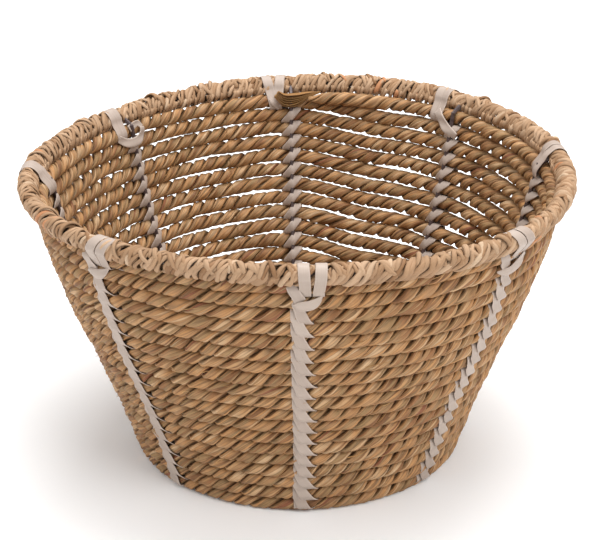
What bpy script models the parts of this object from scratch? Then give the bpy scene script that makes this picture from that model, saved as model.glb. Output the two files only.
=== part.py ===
"""Woven market basket: seagrass rope wound round a wire frame and lashed to it with flat strip.

Units are metres and +Z is up. The origin is on the floor, under the middle of the basket's outer box.
Shapes are first laid out on a true round basket, as a radius and a height, and place() then gives the
slightly three-cornered, wavy rim that the hand-made basket has.
"""

import math

import bpy
from mathutils import Vector

# Rim and wall
RIM_RADIUS = 0.1945
RIM_HEIGHT = 0.2187
BASE_RADIUS = 0.1252
WALL_TOP_RADIUS = 0.1935
WALL_BELLY = 0.0025
WALL_SWELL = 0.0025

# Handmade out-of-round of the rim, fading to nothing at the floor
RIM_THREE_CORNERS = 0.0051
RIM_SADDLE = 0.0013
RIM_TWIST = 0.0025
RIM_LEAN = 0.0016
# The base's axis, placed so that the outer box is centred on the origin
CENTRE_X = 0.0009
CENTRE_Y = -0.0050

# Wire frame
HOOP_WIRE_RADIUS = 0.0025
FRAME_WIRE_RADIUS = 0.00175
CENTRE_RING_RADIUS = 0.018
WIRE_BEND_RADIUS = 0.009
UPRIGHTS = 8
FRONT_RIB_AZIMUTH = math.radians(-86.57)
RIB_STEP = 2 * math.pi / UPRIGHTS
BACK_RIB_AZIMUTH = FRONT_RIB_AZIMUTH + math.pi
# The ribs are spaced by hand: where each one really stands, from the front one anticlockwise, and round again
RIB_DEGREES = (-88.3, -42.3, 3.4, 44.8, 91.5, 138.6, 182.3, 226.0, 271.7)

# Rope
ROPE_RADIUS = 0.0048
WALL_ROWS = 19
FIRST_ROW_HEIGHT = 0.0056
LAST_ROW_HEIGHT = 0.2063
ROW_PITCH = (LAST_ROW_HEIGHT - FIRST_ROW_HEIGHT) / (WALL_ROWS - 1)
BASE_PITCH = 0.0104
BASE_TURNS = 11.0
ROPE_INSET = 0.00505
ROW_SEGMENTS = 32
BASE_SEGMENTS = 16
SEGMENT_ANGLE = 2 * math.pi / ROW_SEGMENTS
START_AZIMUTH = BACK_RIB_AZIMUTH + 1.5 * SEGMENT_ANGLE
# Each row steps up to the next one near the back rib; fractions of a turn from START_AZIMUTH
CLIMB_FROM = 0.888
CLIMB_TO = 0.966
BASE_STEP_FROM = 0.922
ROPE_END = 0.941
TUCK_FROM = 0.882
TUCK_TO = 0.922
TUCK_IN = 0.0085
TUCK_UP = 0.0035

# Leaf binding on the rim hoop, and the flat lashing strip
WRAP_OUTER_RADIUS = 0.0055
WRAP_INNER_RADIUS = 0.0028
WRAP_SLIT = 0.0042
WRAP_SLIT_DIRECTION = math.radians(-160)
STRIP_WIDTH = 0.008
STRIP_THICKNESS = 0.0006
STRIP_END_RADIUS = 0.030

# Clearances between neighbours
GAP = 0.0003
STRIP_GAP = 0.0004
RIM_STRIP_GAP = 0.0008

# Finishes: colour, roughness and metallic value
ROPE_FINISH = ((0.50, 0.31, 0.14), 0.75, 0.0)
BINDING_FINISH = ((0.60, 0.40, 0.24), 0.7, 0.0)
STRIP_FINISH = ((0.50, 0.40, 0.33), 0.4, 0.0)
WIRE_FINISH = ((0.045, 0.03, 0.028), 0.45, 0.6)


# ---------------------------------------------------------------- scene

def clear_scene():
    for obj in list(bpy.data.objects):
        bpy.data.objects.remove(obj, do_unlink=True)


def make_collection(name):
    collection = bpy.data.collections.new(name)
    bpy.context.scene.collection.children.link(collection)
    return collection


def make_material(name, finish):
    colour, roughness, metallic = finish
    material = bpy.data.materials.new(name)
    material.use_nodes = True
    shader = material.node_tree.nodes["Principled BSDF"]
    shader.inputs["Base Color"].default_value = (*colour, 1.0)
    shader.inputs["Roughness"].default_value = roughness
    shader.inputs["Metallic"].default_value = metallic
    return material


def add_object(name, data, collection, finish):
    obj = bpy.data.objects.new(name, data)
    data.materials.append(make_material(name, finish))
    collection.objects.link(obj)
    return obj


def poly_curve(name, points, cyclic=False, dimensions="3D"):
    curve = bpy.data.curves.new(name, "CURVE")
    curve.dimensions = dimensions
    spline = curve.splines.new("POLY")
    spline.points.add(len(points) - 1)
    for point, position in zip(spline.points, points):
        point.co = (*position, 1.0)
    spline.use_cyclic_u = cyclic
    spline.use_smooth = True
    return curve


def add_tube(name, points, radius, collection, finish, cyclic=False, bevel_resolution=1):
    curve = poly_curve(name, points, cyclic)
    curve.bevel_depth = radius
    curve.bevel_resolution = bevel_resolution
    curve.use_fill_caps = True
    return add_object(name, curve, collection, finish)


# ---------------------------------------------------------------- shape of the basket

def smooth_step(value, start, end):
    share = min(max((value - start) / (end - start), 0.0), 1.0)
    return share * share * (3 - 2 * share)


def wall_radius(height):
    """Outside radius of the round wall at a height, with its slight belly."""
    share = height / RIM_HEIGHT
    straight = BASE_RADIUS + (WALL_TOP_RADIUS - BASE_RADIUS) * share
    return straight + WALL_BELLY * math.sin(math.pi * share) - WALL_SWELL * math.sin(2 * math.pi * share)


def wall_inward(height):
    """Unit (radius, height) direction that points from the wall into the basket."""
    step = 0.001
    run = wall_radius(height + step) - wall_radius(height - step)
    rise = 2 * step
    length = math.hypot(run, rise)
    return -rise / length, run / length


def real_azimuth(even_azimuth):
    """Moves an azimuth of the evenly spaced basket to where it lies between the hand-spaced ribs."""
    steps = (even_azimuth - FRONT_RIB_AZIMUTH) / RIB_STEP
    whole_turns = math.floor(steps / UPRIGHTS)
    rib = min(int(steps - whole_turns * UPRIGHTS), UPRIGHTS - 1)
    share = steps - whole_turns * UPRIGHTS - rib
    degrees = RIB_DEGREES[rib] + share * (RIB_DEGREES[rib + 1] - RIB_DEGREES[rib])
    return math.radians(degrees) + 2 * math.pi * whole_turns


def place(even_azimuth, radius, height):
    """Point in space of a (radius, height) on the round basket, out-of-round in proportion to its height."""
    azimuth = real_azimuth(even_azimuth)
    share = height / RIM_HEIGHT
    spread = -RIM_THREE_CORNERS * math.sin(3 * azimuth)
    lift = RIM_SADDLE * math.cos(2 * azimuth) + RIM_TWIST * math.sin(2 * azimuth) + RIM_LEAN * math.cos(azimuth)
    real_radius = radius + share * spread
    x = real_radius * math.cos(azimuth) + CENTRE_X
    y = real_radius * math.sin(azimuth) + CENTRE_Y
    return Vector((x, y, height + share * lift))


def rope_section(turn):
    """(radius, height) of the rope's centre after so many turns; turn 0 starts the lowest wall row."""
    row = math.floor(turn)
    share = turn - row
    if row < 0:
        radius = wall_radius(FIRST_ROW_HEIGHT) - ROPE_INSET
        steps = -row - smooth_step(share, BASE_STEP_FROM, 1.0)
        return radius - BASE_PITCH * steps, FIRST_ROW_HEIGHT
    if row >= WALL_ROWS - 1:
        tuck = smooth_step(share, TUCK_FROM, TUCK_TO)
        radius = wall_radius(LAST_ROW_HEIGHT) - ROPE_INSET - TUCK_IN * tuck
        return radius, LAST_ROW_HEIGHT + TUCK_UP * tuck
    height = FIRST_ROW_HEIGHT + ROW_PITCH * (row + smooth_step(share, CLIMB_FROM, CLIMB_TO))
    return wall_radius(height) - ROPE_INSET, height


def rope_point(turn):
    radius, height = rope_section(turn)
    return place(START_AZIMUTH + 2 * math.pi * turn, radius, height)


def rope_cut(turn, segments, side):
    """Point half a gap before (side -1) or after (side 1) the middle of the segment that turn halves."""
    half = 0.5 / segments
    start = rope_point(turn - half)
    end = rope_point(turn + half)
    share = 0.5 + side * 0.5 * GAP / (end - start).length
    return start.lerp(end, share)


def wire_section(inward_offset, height):
    """(radius, height) of a line that runs up the inside of the rows."""
    inward = wall_inward(height)
    radius = wall_radius(height) - ROPE_INSET + inward[0] * inward_offset
    return radius, height + inward[1] * inward_offset


def corner_arc(centre, radius, start, end, count):
    """(radius, height) points on an arc, from one angle to another."""
    points = []
    for index in range(count):
        angle = start + (end - start) * index / (count - 1)
        points.append((centre[0] + radius * math.cos(angle), centre[1] + radius * math.sin(angle)))
    return points


# ---------------------------------------------------------------- wire frame

WIRE_OFFSET = ROPE_RADIUS + GAP + FRAME_WIRE_RADIUS
LEG_HEIGHT = FIRST_ROW_HEIGHT + WIRE_OFFSET
WIRE_BEND_TOP = LEG_HEIGHT + WIRE_BEND_RADIUS
WIRE_TOP_HEIGHT = 0.2105
HOOP_WELD_DISTANCE = HOOP_WIRE_RADIUS + FRAME_WIRE_RADIUS + GAP
WALL_HEIGHTS = [0.035, 0.075, 0.115, 0.15, 0.18]


def bend_centre():
    """Centre of the bend where an upright turns from the wall onto the base."""
    wall = wire_section(WIRE_OFFSET, WIRE_BEND_TOP)
    return wall[0] - WIRE_BEND_RADIUS, WIRE_BEND_TOP


def upright_sections():
    """(radius, height) route of an upright: along the base, round the bend, up the wall, out to the hoop."""
    inner_end = CENTRE_RING_RADIUS + 2 * FRAME_WIRE_RADIUS + GAP
    route = [(inner_end, LEG_HEIGHT)]
    route += corner_arc(bend_centre(), WIRE_BEND_RADIUS, math.radians(-90), math.radians(-15), 4)
    route += [wire_section(WIRE_OFFSET, height) for height in WALL_HEIGHTS]
    route.append(wire_section(WIRE_OFFSET, WIRE_TOP_HEIGHT))
    weld_x = RIM_RADIUS + HOOP_WELD_DISTANCE * math.cos(WRAP_SLIT_DIRECTION)
    weld_z = RIM_HEIGHT + HOOP_WELD_DISTANCE * math.sin(WRAP_SLIT_DIRECTION)
    route.append((weld_x, weld_z))
    return route


def hoop_in_bend():
    """(radius, height) of the base hoop, welded into the uprights' bends."""
    centre = bend_centre()
    reach = WIRE_BEND_RADIUS - 2 * FRAME_WIRE_RADIUS - GAP
    angle = math.radians(-52)
    return centre[0] + reach * math.cos(angle), centre[1] + reach * math.sin(angle)


def ring_points(radius, height, segments, first_azimuth):
    azimuths = [first_azimuth + 2 * math.pi * index / segments for index in range(segments)]
    return [place(azimuth, radius, height) for azimuth in azimuths]


def build_wire_frame(collection):
    rim = ring_points(RIM_RADIUS, RIM_HEIGHT, ROW_SEGMENTS, FRONT_RIB_AZIMUTH)
    add_tube("rim_hoop", rim, HOOP_WIRE_RADIUS, collection, WIRE_FINISH, cyclic=True)
    corner = ring_points(*hoop_in_bend(), ROW_SEGMENTS, FRONT_RIB_AZIMUTH)
    add_tube("base_hoop", corner, FRAME_WIRE_RADIUS, collection, WIRE_FINISH, cyclic=True)
    centre = ring_points(CENTRE_RING_RADIUS, LEG_HEIGHT, BASE_SEGMENTS, FRONT_RIB_AZIMUTH)
    add_tube("centre_ring", centre, FRAME_WIRE_RADIUS, collection, WIRE_FINISH, cyclic=True)
    for index in range(UPRIGHTS):
        azimuth = FRONT_RIB_AZIMUTH + index * RIB_STEP
        points = [place(azimuth, *section) for section in upright_sections()]
        add_tube(f"upright_wire_{index + 1}", points, FRAME_WIRE_RADIUS, collection, WIRE_FINISH)


# ---------------------------------------------------------------- rope

def build_wall_row(row, collection):
    """One turn of the wound rope, cut in the middle of the segment just past the back rib."""
    points = [rope_cut(row - 1, ROW_SEGMENTS, 1)]
    last = row == WALL_ROWS
    for index in range(ROW_SEGMENTS):
        turn = row - 1 + (index + 0.5) / ROW_SEGMENTS
        if last and turn > row - 1 + ROPE_END:
            break
        points.append(rope_point(turn))
    if last:
        points.append(rope_point(row - 1 + ROPE_END))
    else:
        points.append(rope_cut(row, ROW_SEGMENTS, -1))
    add_tube(f"wall_row_{row:02d}", points, ROPE_RADIUS, collection, ROPE_FINISH)


def build_base_coil(collection):
    """Flat spiral of the same rope, from the middle of the base out to the lowest wall row."""
    points = []
    count = int(BASE_TURNS * BASE_SEGMENTS)
    for index in range(count, 0, -1):
        points.append(rope_point(-index / BASE_SEGMENTS))
    points.append(rope_point(-0.5 / ROW_SEGMENTS))
    points.append(rope_cut(0, ROW_SEGMENTS, -1))
    add_tube("base_coil", points, ROPE_RADIUS, collection, ROPE_FINISH)


# ---------------------------------------------------------------- rim binding

def wrap_profile():
    """C-shaped section, open towards the uprights: the outer arc one way, the inner arc back."""
    slit = WRAP_SLIT_DIRECTION
    outer = math.asin(0.5 * WRAP_SLIT / WRAP_OUTER_RADIUS)
    inner = math.asin(0.5 * WRAP_SLIT / WRAP_INNER_RADIUS)
    full = 2 * math.pi
    section = corner_arc((0, 0), WRAP_INNER_RADIUS, slit + inner, slit + full - inner, 6)
    section += corner_arc((0, 0), WRAP_OUTER_RADIUS, slit + full - outer, slit + outer, 10)
    return section


def build_rim_wrap(collection, guides):
    profile = poly_curve("wrap_profile", [(x, y, 0) for x, y in wrap_profile()], cyclic=True, dimensions="2D")
    guide = bpy.data.objects.new("wrap_profile", profile)
    guide.hide_render = True
    guide.display_type = "WIRE"
    guides.objects.link(guide)
    curve = poly_curve("rim_wrap", ring_points(RIM_RADIUS, RIM_HEIGHT, ROW_SEGMENTS, FRONT_RIB_AZIMUTH), True)
    curve.twist_mode = "Z_UP"
    curve.bevel_mode = "OBJECT"
    curve.bevel_object = guide
    add_object("rim_wrap", curve, collection, BINDING_FINISH)


# ---------------------------------------------------------------- lashings

def lashing_route():
    """(radius, height) route of the strip's face that touches the basket: under, up, over and back in."""
    face = ROPE_RADIUS + STRIP_GAP
    first_radius = wall_radius(FIRST_ROW_HEIGHT) - ROPE_INSET
    corner = (first_radius, FIRST_ROW_HEIGHT)
    route = [(STRIP_END_RADIUS, STRIP_THICKNESS)]
    route += corner_arc(corner, FIRST_ROW_HEIGHT - STRIP_THICKNESS, math.radians(-90), math.radians(-20), 4)
    for height in WALL_HEIGHTS + [LAST_ROW_HEIGHT - 0.004]:
        route.append(wire_section(-face, height))
    rim = (RIM_RADIUS, RIM_HEIGHT)
    reach = WRAP_OUTER_RADIUS + RIM_STRIP_GAP
    route += corner_arc(rim, reach, math.radians(-8), math.radians(172), 8)
    inner_face = WIRE_OFFSET + FRAME_WIRE_RADIUS + STRIP_GAP
    for height in reversed(WALL_HEIGHTS + [WIRE_TOP_HEIGHT + 0.002]):
        route.append(wire_section(inner_face, height))
    hoop = hoop_in_bend()
    route += corner_arc(hoop, FRAME_WIRE_RADIUS + RIM_STRIP_GAP, math.radians(20), math.radians(95), 3)
    leg_face = LEG_HEIGHT + FRAME_WIRE_RADIUS + STRIP_GAP
    route.append((hoop[0] - 0.008, leg_face))
    route.append((STRIP_END_RADIUS, leg_face))
    return route


def offset_route(route, distance):
    """The route moved sideways, to the right of its direction, with mitred corners."""
    result = []
    for index, point in enumerate(route):
        before = route[max(index - 1, 0)]
        after = route[min(index + 1, len(route) - 1)]
        normals = []
        for start, end in ((before, point), (point, after)):
            run = end[0] - start[0]
            rise = end[1] - start[1]
            length = math.hypot(run, rise)
            if length > 0:
                normals.append((rise / length, -run / length))
        x = sum(normal[0] for normal in normals) / len(normals)
        z = sum(normal[1] for normal in normals) / len(normals)
        scale = distance / (x * x + z * z)
        result.append((point[0] + x * scale, point[1] + z * scale))
    return result


def build_lashing(number, azimuth, collection):
    """Thin flat strip laid along a rib, outside and inside, standing for the stitches over the wire."""
    inner = lashing_route()
    outer = offset_route(inner, STRIP_THICKNESS)
    outline = []
    for radius, height in outer + inner[::-1]:
        point = place(azimuth, radius, height)
        distance = math.hypot(point.x - CENTRE_X, point.y - CENTRE_Y)
        outline.append((distance, point.z, 0))
    curve = poly_curve(f"lashing_{number}", outline, cyclic=True, dimensions="2D")
    curve.fill_mode = "BOTH"
    curve.extrude = 0.5 * STRIP_WIDTH
    lashing = add_object(f"lashing_{number}", curve, collection, STRIP_FINISH)
    lashing.location = (CENTRE_X, CENTRE_Y, 0)
    lashing.rotation_euler = (math.pi / 2, 0, real_azimuth(azimuth))


def main():
    clear_scene()
    basket = make_collection("woven_market_basket")
    guides = make_collection("guides")
    build_wire_frame(basket)
    build_rim_wrap(basket, guides)
    build_base_coil(basket)
    for row in range(1, WALL_ROWS + 1):
        build_wall_row(row, basket)
    for index in range(UPRIGHTS):
        build_lashing(index + 1, FRONT_RIB_AZIMUTH + index * RIB_STEP, basket)


main()
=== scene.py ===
"""A woven market basket: twisted rope rows on a wire frame, lashed with flat strips, its rim bound in leaf.

Sizes are metres and angles are radians. Azimuths turn anticlockwise from +X, seen from above.
"""

import logging
import math
from dataclasses import dataclass, field
from enum import Enum

import bpy
import numpy as np
from mathutils import Matrix, Vector


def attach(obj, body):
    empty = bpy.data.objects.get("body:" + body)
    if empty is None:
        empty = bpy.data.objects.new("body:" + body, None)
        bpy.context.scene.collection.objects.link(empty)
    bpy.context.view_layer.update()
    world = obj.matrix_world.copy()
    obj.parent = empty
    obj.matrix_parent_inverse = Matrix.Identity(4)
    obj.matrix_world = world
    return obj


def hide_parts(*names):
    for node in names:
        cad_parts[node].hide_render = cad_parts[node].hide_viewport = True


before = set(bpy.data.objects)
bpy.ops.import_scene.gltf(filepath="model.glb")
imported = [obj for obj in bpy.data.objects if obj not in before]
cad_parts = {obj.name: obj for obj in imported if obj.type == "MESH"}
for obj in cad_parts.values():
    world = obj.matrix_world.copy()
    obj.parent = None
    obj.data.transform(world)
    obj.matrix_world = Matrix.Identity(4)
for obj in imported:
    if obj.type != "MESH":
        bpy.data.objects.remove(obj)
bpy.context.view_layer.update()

ROOT_BODY = "root"
# The thickness left at a sheet's very edge, as a share of its middle's
EDGE_THICKNESS_SHARE = 0.35
# How far each sheet's texture is moved along and around, for each unit of its random tone
TEXTURE_SHIFT_ALONG = 3.7
TEXTURE_SHIFT_AROUND = 0.31
FULL_TURN = 2.0 * math.pi

logging.basicConfig(level=logging.INFO, format="%(message)s")
LOG = logging.getLogger("basket")

Array = np.ndarray
Colour = tuple[float, float, float, float]
Dice = np.random.Generator
Lengths = tuple[float, ...]
Material = bpy.types.Material
Socket = bpy.types.NodeSocket


class Slot(Enum):
    """The record's material slots."""

    ROPE = "rope"
    BINDING = "leaf_binding"
    LASHING = "lashing_strip"
    WIRE = "frame_wire"


class Face(Enum):
    """The side of the wall that a stitch lies on."""

    OUTSIDE = 1
    INSIDE = -1


# ---------------------------------------------------------------------------
# Arithmetic on whole arrays
# ---------------------------------------------------------------------------


def smooth_step(value: Array, start: float, end: float) -> Array:
    """A smooth rise from 0 to 1: with x the share of the way from start to end, x squared times (3 - 2x).

    Args:
        value: Where to work it out.
        start: Where the rise begins.
        end: Where the rise ends.

    Returns:
        The rise at each value.
    """
    share = np.clip((np.asarray(value, float) - start) / (end - start), 0.0, 1.0)
    return share * share * (3.0 - 2.0 * share)


def unit(vectors: Array) -> Array:
    """The same vectors with length 1."""
    return vectors / np.maximum(np.linalg.norm(vectors, axis=-1, keepdims=True), 1e-12)


def waves(where: Array, lengths: Lengths, heights: Lengths, dice: Dice) -> Array:
    """A slow wander: the sum of one sine wave for each wavelength, with seeded phases.

    Args:
        where: Distances along the work.
        lengths: Wavelengths.
        heights: The height of each wave.
        dice: The seeded source of phases.

    Returns:
        The wander at each distance.
    """
    total = np.zeros_like(where)
    for length, height in zip(lengths, heights):
        total = total + height * np.sin(FULL_TURN * where / length + dice.uniform(0.0, FULL_TURN))
    return total


def through_points(points: Array, count: int) -> Array:
    """A smooth line through points: Catmull-Rom cubics, evenly spaced along their length.

    Args:
        points: Points of shape (n, d), in order.
        count: How many points to return.

    Returns:
        Points of shape (count, d).
    """
    points = np.asarray(points, float)
    padded = np.vstack([2 * points[0] - points[1], points, 2 * points[-1] - points[-2]])
    steps = np.linspace(0.0, len(points) - 1.0, 24 * len(points))
    first = np.minimum(steps.astype(int), len(points) - 2)
    t = (steps - first)[:, None]
    a, b, c, d = (padded[first + k] for k in range(4))
    line = 0.5 * (2 * b + (c - a) * t + (2 * a - 5 * b + 4 * c - d) * t**2 + (3 * b - a - 3 * c + d) * t**3)
    run = np.concatenate([[0.0], np.cumsum(np.linalg.norm(np.diff(line, axis=0), axis=1))])
    wanted = np.linspace(0.0, run[-1], count)
    return np.stack([np.interp(wanted, run, line[:, k]) for k in range(line.shape[1])], axis=-1)


# ---------------------------------------------------------------------------
# Meshes from grids
# ---------------------------------------------------------------------------


@dataclass
class Tubes:
    """Closed tubes, each a grid of rings.

    rings has the shape (tubes, sections, sides, 3). along is the distance of each section, of shape
    (tubes, sections). around is the distance round each ring with its first corner repeated at the end, of
    shape (tubes, sections, sides + 1). marks holds named numbers of shape (tubes, sections, sides).
    """

    rings: Array
    along: Array
    around: Array
    marks: dict[str, Array] = field(default_factory=dict)

    def faces(self) -> tuple[Array, Array, Array]:
        """Quads of the walls and the end caps, wound so that each tube encloses a positive volume.

        A wall quad joins corner k and k + 1 of ring m to those of ring m + 1. A cap joins corner j to its
        opposite, so an even ring closes in a row of quads.

        Returns:
            Corner indices (faces, 4), and the along and around value at each corner.
        """
        tubes, sections, sides = self.rings.shape[:3]
        m, k = np.meshgrid(np.arange(sections - 1), np.arange(sides), indexing="ij")
        m, k = m.ravel(), k.ravel()
        ring = np.stack([m, m, m + 1, m + 1], axis=-1)
        side = np.stack([k, k + 1, k + 1, k], axis=-1)
        j = np.arange(sides // 2 - 1)
        cap = np.stack([j, j + 1, sides - 2 - j, sides - 1 - j], axis=-1)
        ring = np.concatenate([ring, np.zeros_like(cap), np.full_like(cap, sections - 1)])
        side = np.concatenate([side, cap[:, ::-1], cap])
        corner = ring * sides + side % sides
        base = (np.arange(tubes) * sections * sides)[:, None, None]
        index = corner[None] + base
        along = self.along[:, ring]
        around = self.around[:, ring, side]
        flip = self.inside_out(corner)
        for values in (index, along, around):
            values[flip] = values[flip][..., ::-1]
        return index.reshape(-1, 4), along.reshape(-1, 4), around.reshape(-1, 4)

    def inside_out(self, corner: Array) -> Array:
        """Tubes of negative volume: the sum over quads abcd of a . (b x c + c x d), about the middle."""
        points = self.rings.reshape(len(self.rings), -1, 3)
        points = points - points.mean(axis=1, keepdims=True)
        a, b, c, d = (points[:, corner[:, n]] for n in range(4))
        volume = np.einsum("tfi,tfi->t", a, np.cross(b, c) + np.cross(c, d))
        return volume < 0.0


def make_piece(
    name: str, groups: list[Tubes], material: Material, nodes: list[str]
) -> bpy.types.Object:
    """Puts tubes into one mesh object that rides on the basket.

    Args:
        name: The piece's name.
        groups: Its tubes.
        material: Its finish.
        nodes: The CAD nodes it stands for.

    Returns:
        The object.
    """
    points, faces, uvs, start = [], [], [], 0
    marks: dict[str, list[Array]] = {key: [] for key in groups[0].marks}
    for tubes in groups:
        index, along, around = tubes.faces()
        points.append(tubes.rings.reshape(-1, 3))
        faces.append(index + start)
        uvs.append(np.stack([along.ravel(), around.ravel()], axis=-1))
        start += len(points[-1])
        for key, values in marks.items():
            values.append(tubes.marks[key].ravel())
    corners = np.concatenate(faces).astype(np.int32)
    mesh = bpy.data.meshes.new(name)
    mesh.vertices.add(start)
    mesh.vertices.foreach_set("co", np.concatenate(points).astype(np.float32).ravel())
    mesh.loops.add(corners.size)
    mesh.loops.foreach_set("vertex_index", corners.ravel())
    mesh.polygons.add(len(corners))
    mesh.polygons.foreach_set("loop_start", np.arange(0, corners.size, 4, dtype=np.int32))
    mesh.update(calc_edges=True)
    layer = mesh.uv_layers.new(name="UVMap")
    layer.data.foreach_set("uv", np.concatenate(uvs).astype(np.float32).ravel())
    for key, values in marks.items():
        mark = mesh.attributes.new(key, "FLOAT", "POINT")
        mark.data.foreach_set("value", np.concatenate(values).astype(np.float32))
    mesh.polygons.foreach_set("use_smooth", np.ones(len(corners), dtype=bool))
    mesh.materials.append(material)
    piece = bpy.data.objects.new(name, mesh)
    bpy.context.scene.collection.objects.link(piece)
    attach(piece, ROOT_BODY)
    if nodes:
        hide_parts(*nodes)
    LOG.info("%s: %d faces", name, len(corners))
    return piece


def sheet_tubes(surface: Array, thickness: Array, tone: Array, bead: float = 0.0) -> Tubes:
    """Gives thin sheets their thickness, as closed flat tubes.

    The sheet's normal is the cross product of its two grid directions. A ring is the row of points moved out
    by half the thickness, then the same row backwards moved in by half. The thickness is 1 over the middle,
    bulges by the bead near each edge, and rounds off at the edge itself.

    Args:
        surface: Points of shape (sheets, sections, columns, 3).
        thickness: Thickness of each sheet and section, of shape (sheets, sections).
        tone: One random number for each sheet.
        bead: How much thicker the edges are, as a share.

    Returns:
        The tubes.
    """
    sheets, sections, columns = surface.shape[:3]
    down = np.gradient(surface, axis=1)
    across = np.gradient(surface, axis=2)
    normal = unit(np.cross(down, across))
    place = np.linspace(-1.0, 1.0, columns)
    profile = np.sqrt(np.clip(1.0 - place**8, 0.0, 1.0))
    profile = profile * (1.0 + bead * smooth_step(np.abs(place), 0.55, 0.85))
    profile[[0, -1]] = EDGE_THICKNESS_SHARE
    half = 0.5 * thickness[:, :, None] * profile
    top = surface + normal * half[..., None]
    bottom = surface - normal * half[..., None]
    rings = np.concatenate([top, bottom[:, :, ::-1]], axis=2)
    width = np.linalg.norm(np.diff(surface, axis=2), axis=-1)
    width = np.concatenate([np.zeros((sheets, sections, 1)), np.cumsum(width, axis=2)], axis=2)
    run = np.linalg.norm(np.diff(surface[:, :, columns // 2], axis=1), axis=-1)
    run = np.concatenate([np.zeros((sheets, 1)), np.cumsum(run, axis=1)], axis=1)
    offset = tone[:, None] * TEXTURE_SHIFT_ALONG
    around = np.concatenate([width, width[:, :, ::-1], width[:, :, :1]], axis=2)
    edge = np.broadcast_to(np.concatenate([np.abs(place), np.abs(place)[::-1]]), rings.shape[:3])
    marks = {"tone": np.broadcast_to(tone[:, None, None], rings.shape[:3]), "edge": edge}
    return Tubes(rings, run + offset, around + offset[:, :, None] * TEXTURE_SHIFT_AROUND, marks)


# ---------------------------------------------------------------------------
# The basket's shape, the same as the CAD's
# ---------------------------------------------------------------------------


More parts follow.
